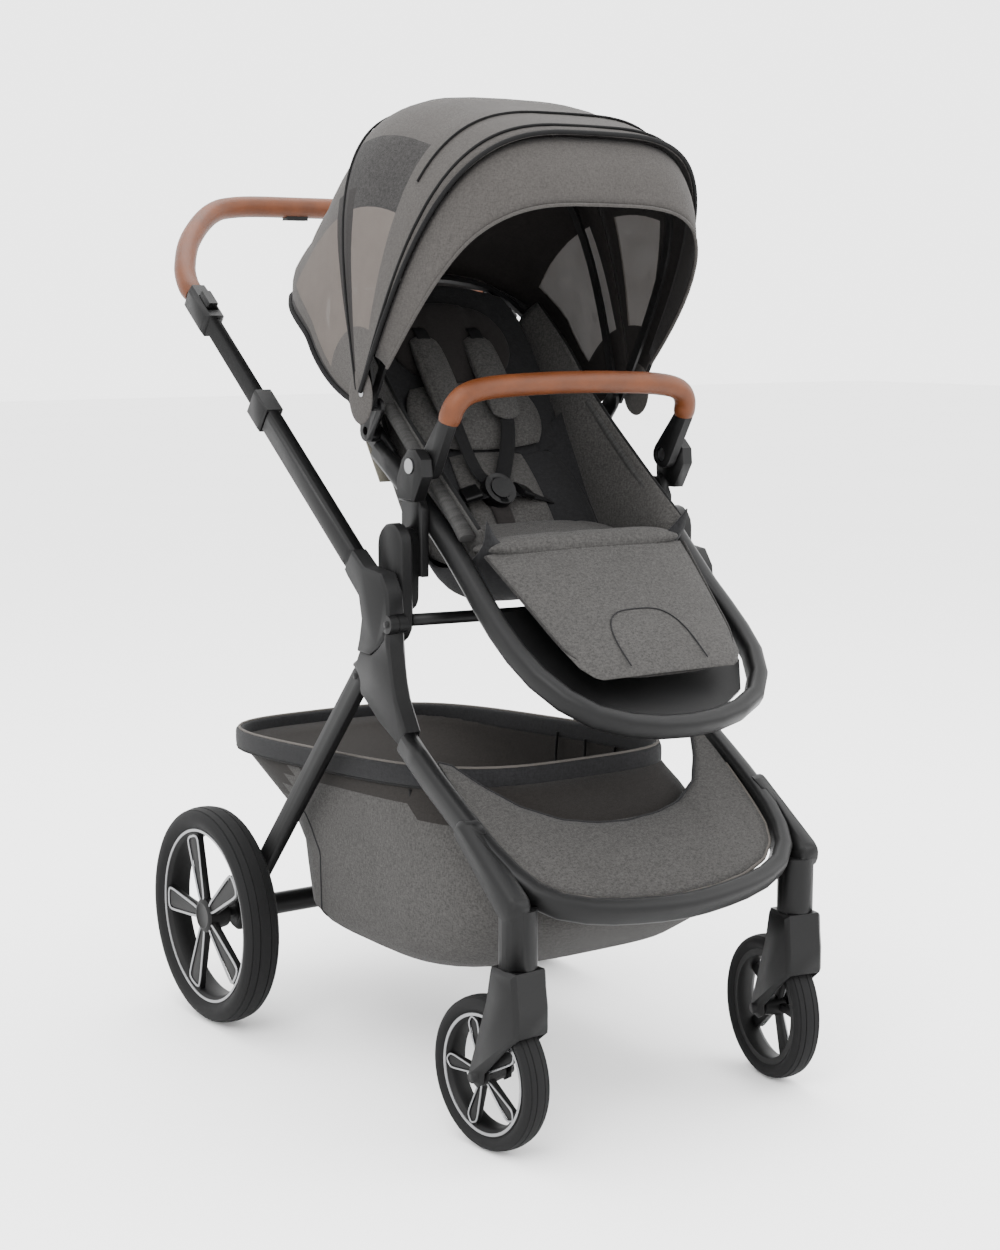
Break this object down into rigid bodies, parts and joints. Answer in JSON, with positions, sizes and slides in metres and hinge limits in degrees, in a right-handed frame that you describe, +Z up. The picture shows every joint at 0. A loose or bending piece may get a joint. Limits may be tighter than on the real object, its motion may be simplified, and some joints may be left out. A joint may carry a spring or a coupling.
{
  "type": "baby stroller",
  "caption": "Folding stroller with swivel front wheels, telescoping leather-wrapped handle, reclining seat, bumper bar, hinged canopy and under-seat basket.",
  "frame": {"origin": "on the ground, at the middle of the bounding box", "axes": "+Z up, -Y the way the child faces and the stroller is pushed, +X the child's left"},
  "size_m": [0.5688, 0.93, 1.211],
  "materials": {
    "frame_black": "matte black powder coat",
    "plastic_black": "fine matte",
    "tyre_black": "matte rubber",
    "rim_black": "satin, with a silver line round each window",
    "leather_tan": "smooth stitched leather",
    "fabric_grey": "heather weave",
    "fabric_dark": "plain weave",
    "fabric_canopy": "heather weave",
    "steel": "satin"
  },
  "bodies": {
    "chassis": {"front_frame_tube": "frame_black", "leg_casting_left": "plastic_black", "leg_casting_right": "plastic_black", "caster_stem_left": "plastic_black", "caster_stem_right": "plastic_black", "seat_mount_left": "plastic_black", "seat_mount_right": "plastic_black", "crossbar": "frame_black", "storage_basket": "fabric_grey", "basket_rim": "fabric_dark", "basket_front_panel": "fabric_grey"},
    "upper_frame": {"hub_housing_left": "plastic_black", "hub_housing_right": "plastic_black", "main_tube_left": "frame_black", "main_tube_right": "frame_black"},
    "rear_legs": {"rear_leg_left": "frame_black", "rear_leg_right": "frame_black", "rear_axle": "frame_black"},
    "brake": {"brake_pedal": "plastic_black"},
    "handle": {"handle_tube_left": "frame_black", "handle_tube_right": "frame_black", "handle_grip": "leather_tan"},
    "height_button": {"height_button": "plastic_black"},
    "fold_trigger_left": {"fold_trigger_left": "plastic_black"},
    "fold_trigger_right": {"fold_trigger_right": "plastic_black"},
    "seat": {"seat_frame": "frame_black", "footrest_tray": "plastic_black", "seat_bucket": "fabric_dark", "seat_pad": "fabric_grey", "harness_buckle": "plastic_black", "rail_bracket_left": "plastic_black", "rail_bracket_right": "plastic_black"},
    "backrest": {"backrest_frame": "frame_black", "back_pad": "fabric_dark", "shoulder_pads": "fabric_grey", "canopy_rear_panel": "fabric_canopy"},
    "canopy_mid": {"canopy_mid_bow": "plastic_black"},
    "canopy_front": {"canopy_front_bow": "plastic_black", "canopy_front_panel": "fabric_canopy"},
    "visor": {"canopy_visor": "fabric_canopy"},
    "bumper": {"bumper_bar": "leather_tan", "bumper_arm_left": "plastic_black", "bumper_arm_right": "plastic_black"},
    "bumper_button_left": {"bumper_button_left": "steel"},
    "bumper_button_right": {"bumper_button_right": "steel"},
    "calf_rest": {"calf_rest": "fabric_grey"},
    "buckle_button": {"buckle_button": "plastic_black"},
    "rear_wheel_left": {"rear_tyre_left": "tyre_black", "rear_rim_left": "rim_black"},
    "caster_left": {"caster_fork_left": "plastic_black"},
    "front_wheel_left": {"front_tyre_left": "tyre_black", "front_rim_left": "rim_black"},
    "swivel_latch_left": {"swivel_latch_left": "plastic_black"},
    "rear_wheel_right": {"rear_tyre_right": "tyre_black", "rear_rim_right": "rim_black"},
    "caster_right": {"caster_fork_right": "plastic_black"},
    "front_wheel_right": {"front_tyre_right": "tyre_black", "front_rim_right": "rim_black"},
    "swivel_latch_right": {"swivel_latch_right": "plastic_black"}
  },
  "joints": [
    {"name": "frame_fold", "type": "hinge", "parent": "chassis", "child": "upper_frame", "pos_m": [0, -0.19629, 0.59], "axis": [1, 0, 0], "range_deg": [0, 135]},
    {"name": "rear_leg_fold", "type": "hinge", "parent": "chassis", "child": "rear_legs", "pos_m": [0, -0.09629, 0.514], "axis": [1, 0, 0], "range_deg": [-39.2, 0]},
    {"name": "handle_extend", "type": "slide", "parent": "upper_frame", "child": "handle", "axis": [0, 0.7955, 0.606], "range_m": [-0.1, 0]},
    {"name": "height_button", "type": "slide", "parent": "handle", "child": "height_button", "axis": [0, 0, 1], "range_m": [0, 0.003], "stiffness_N_per_m": 400, "springref_m": -0.002},
    {"name": "fold_trigger_left", "type": "slide", "parent": "handle", "child": "fold_trigger_left", "axis": [0, 0.7955, 0.606], "range_m": [-0.0035, 0], "stiffness_N_per_m": 400, "springref_m": 0.002},
    {"name": "fold_trigger_right", "type": "slide", "parent": "handle", "child": "fold_trigger_right", "axis": [0, 0.7955, 0.606], "range_m": [-0.0035, 0], "stiffness_N_per_m": 400, "springref_m": 0.002},
    {"name": "brake_pedal", "type": "hinge", "parent": "rear_legs", "child": "brake", "pos_m": [0, 0.23171, 0.146], "axis": [1, 0, 0], "range_deg": [-20, 0]},
    {"name": "seat_lift", "type": "slide", "parent": "chassis", "child": "seat", "axis": [0, 0, 1], "range_m": [0, 0.05]},
    {"name": "recline", "type": "hinge", "parent": "seat", "child": "backrest", "pos_m": [0, -0.04229, 0.806], "axis": [1, 0, 0], "range_deg": [-28, 0]},
    {"name": "canopy_mid_fold", "type": "hinge", "parent": "backrest", "child": "canopy_mid", "pos_m": [0, -0.06829, 0.835], "axis": [1, 0, 0], "range_deg": [-24, 0]},
    {"name": "canopy_front_fold", "type": "hinge", "parent": "canopy_mid", "child": "canopy_front", "pos_m": [0, -0.06829, 0.835], "axis": [1, 0, 0], "range_deg": [-30, 0]},
    {"name": "visor_tuck", "type": "hinge", "parent": "canopy_front", "child": "visor", "pos_m": [0, -0.06829, 0.835], "axis": [1, 0, 0], "range_deg": [-15, 0]},
    {"name": "bumper_swing", "type": "hinge", "parent": "seat", "child": "bumper", "pos_m": [0, -0.18229, 0.772], "axis": [1, 0, 0], "range_deg": [-15, 70]},
    {"name": "bumper_button_left", "type": "slide", "parent": "bumper", "child": "bumper_button_left", "axis": [-1, 0, 0], "range_m": [0, 0.0025], "stiffness_N_per_m": 400, "springref_m": -0.002},
    {"name": "bumper_button_right", "type": "slide", "parent": "bumper", "child": "bumper_button_right", "axis": [1, 0, 0], "range_m": [0, 0.0025], "stiffness_N_per_m": 400, "springref_m": -0.002},
    {"name": "calf_raise", "type": "hinge", "parent": "seat", "child": "calf_rest", "pos_m": [0, -0.25429, 0.668], "axis": [1, 0, 0], "range_deg": [-40, 0]},
    {"name": "buckle_button", "type": "slide", "parent": "seat", "child": "buckle_button", "axis": [0, 0.829, -0.5592], "range_m": [0, 0.002], "stiffness_N_per_m": 400, "springref_m": -0.002},
    {"name": "rear_wheel_spin_left", "type": "hinge", "parent": "rear_legs", "child": "rear_wheel_left", "pos_m": [0.2596, 0.23171, 0.146], "axis": [1, 0, 0], "continuous": true},
    {"name": "caster_swivel_left", "type": "hinge", "parent": "chassis", "child": "caster_left", "pos_m": [0.2065, -0.40629, 0.226], "axis": [0, 0, 1], "continuous": true},
    {"name": "front_wheel_spin_left", "type": "hinge", "parent": "caster_left", "child": "front_wheel_left", "pos_m": [0.21516, -0.35908, 0.09], "axis": [0.9836, -0.1805, 0], "continuous": true},
    {"name": "swivel_latch_left", "type": "slide", "parent": "caster_left", "child": "swivel_latch_left", "axis": [0, 0, 1], "range_m": [0, 0.006]},
    {"name": "rear_wheel_spin_right", "type": "hinge", "parent": "rear_legs", "child": "rear_wheel_right", "pos_m": [-0.2596, 0.23171, 0.146], "axis": [1, 0, 0], "continuous": true},
    {"name": "caster_swivel_right", "type": "hinge", "parent": "chassis", "child": "caster_right", "pos_m": [-0.2065, -0.40629, 0.226], "axis": [0, 0, 1], "continuous": true},
    {"name": "front_wheel_spin_right", "type": "hinge", "parent": "caster_right", "child": "front_wheel_right", "pos_m": [-0.21043, -0.35845, 0.09], "axis": [0.9966, 0.0819, 0], "continuous": true},
    {"name": "swivel_latch_right", "type": "slide", "parent": "caster_right", "child": "swivel_latch_right", "axis": [0, 0, 1], "range_m": [0, 0.006]}
  ],
  "couplings": [
    {"joint": "rear_leg_fold", "follows": "frame_fold", "ratio": -0.29},
    {"joint": "canopy_mid_fold", "follows": "canopy_front_fold", "ratio": 0.8}
  ]
}
